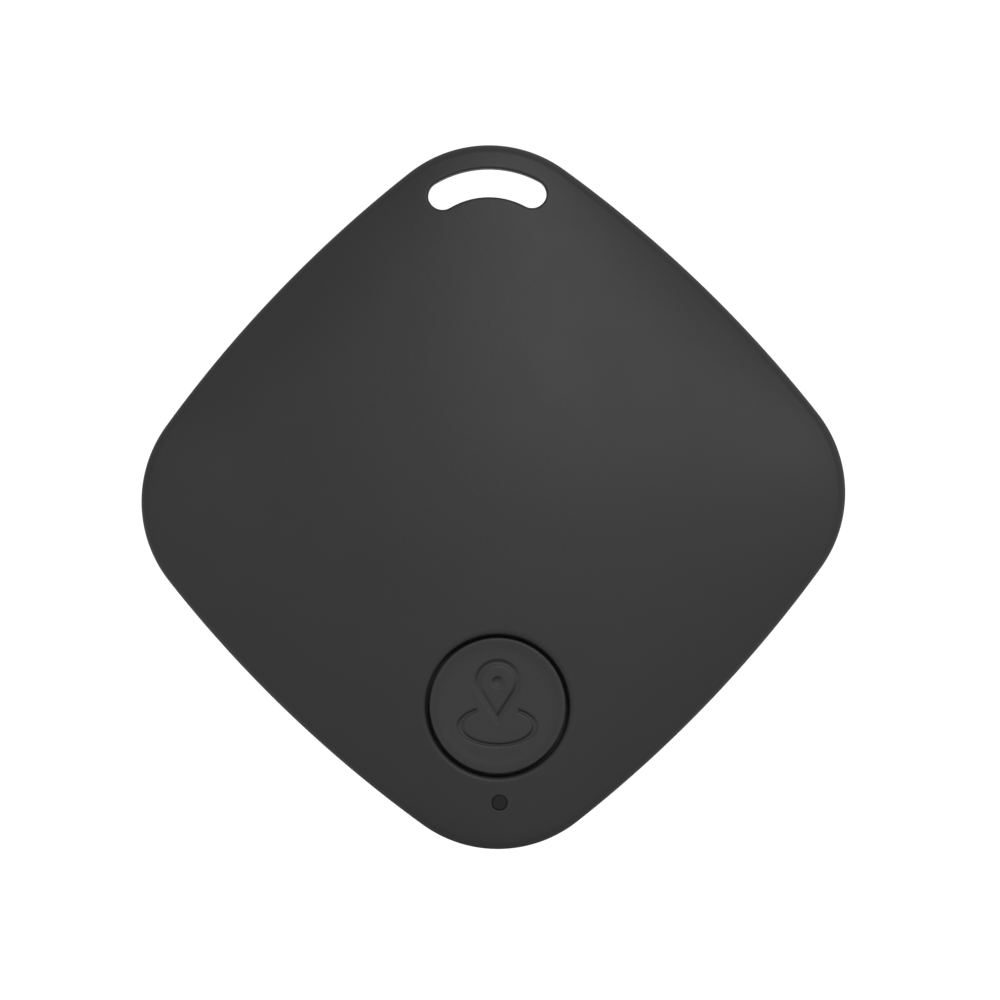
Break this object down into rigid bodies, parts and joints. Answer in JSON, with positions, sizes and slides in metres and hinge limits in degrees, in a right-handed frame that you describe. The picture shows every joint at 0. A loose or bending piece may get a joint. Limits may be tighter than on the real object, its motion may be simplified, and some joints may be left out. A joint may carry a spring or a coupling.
{
  "type": "wireless tracker tag",
  "caption": "Rounded-square wireless tracker tag on its corner, with a domed front, a round push button, a status light, a lanyard slot and a snap-off rear cover.",
  "frame": {"origin": "middle of the flat rear face of the rear cover", "axes": "+Z towards the corner with the lanyard slot, the front face looks along -Y, +X to the right as seen from the front"},
  "size_m": [0.045, 0.008, 0.045],
  "materials": {
    "case_plastic": "fine matte texture",
    "button_plastic": "fine matte texture, a little smoother",
    "smoked_window": "smoked, translucent",
    "board_laminate": "green solder mask",
    "chip_resin": "moulded black resin",
    "switch_plastic": "satin",
    "contact_steel": "nickel-plated spring steel",
    "cell_can": "nickel-plated, brushed",
    "cell_filling": "nickel-plated, brushed",
    "sounder_brass": "rolled sheet",
    "sounder_ceramic": "silvered piezo ceramic",
    "adhesive_tape": "foam tape",
    "antenna_ceramic": "glazed ceramic",
    "ferrite": "sintered",
    "lamp_resin": "clear resin over a reflector",
    "capacitor_ceramic": "fired ceramic with tinned ends",
    "resistor_film": "glazed film with tinned ends",
    "seal_nylon": "natural nylon",
    "wire_red": "silicone insulation",
    "wire_black": "silicone insulation"
  },
  "bodies": {
    "case": {"front_cover": "case_plastic", "status_light_window": "smoked_window", "circuit_board": "board_laminate", "radio_chip": "chip_resin", "crystal": "contact_steel", "chip_antenna": "antenna_ceramic", "boost_inductor": "ferrite", "buzzer_transistor": "chip_resin", "status_lamp": "lamp_resin", "capacitor_1": "capacitor_ceramic", "capacitor_2": "capacitor_ceramic", "capacitor_3": "capacitor_ceramic", "capacitor_4": "capacitor_ceramic", "resistor_1": "resistor_film", "resistor_2": "resistor_film", "resistor_3": "resistor_film", "switch_base": "switch_plastic", "switch_dome": "contact_steel", "switch_cover": "contact_steel", "negative_contact": "contact_steel", "positive_contact": "contact_steel", "sounder_tape": "adhesive_tape", "sounder_brass_disc": "sounder_brass", "sounder_ceramic": "sounder_ceramic", "sounder_wire_red": "wire_red", "sounder_wire_black": "wire_black"},
    "button": {"button_cap": "button_plastic"},
    "plunger": {"switch_plunger": "switch_plastic"},
    "back": {"rear_cover": "case_plastic"},
    "cell": {"battery_can": "cell_can", "battery_gasket": "seal_nylon", "battery_cap": "cell_filling"}
  },
  "joints": [
    {"name": "button_press", "type": "slide", "parent": "case", "child": "button", "axis": [0, 1, 0], "range_m": [0, 0.00025], "stiffness_N_per_m": 40},
    {"name": "switch_press", "type": "slide", "parent": "case", "child": "plunger", "axis": [0, 1, 0], "range_m": [0, 0.00025], "deforming": ["switch_dome"]},
    {"name": "rear_cover_lift", "type": "slide", "parent": "case", "child": "back", "axis": [0, 1, 0], "range_m": [0, 0.024]},
    {"name": "battery_lift", "type": "slide", "parent": "case", "child": "cell", "axis": [0, 1, 0], "range_m": [0, 0.012]}
  ],
  "couplings": [
    {"joint": "switch_press", "follows": "button_press", "ratio": 1},
    {"joint": "battery_lift", "follows": "rear_cover_lift", "ratio": 0.5}
  ]
}
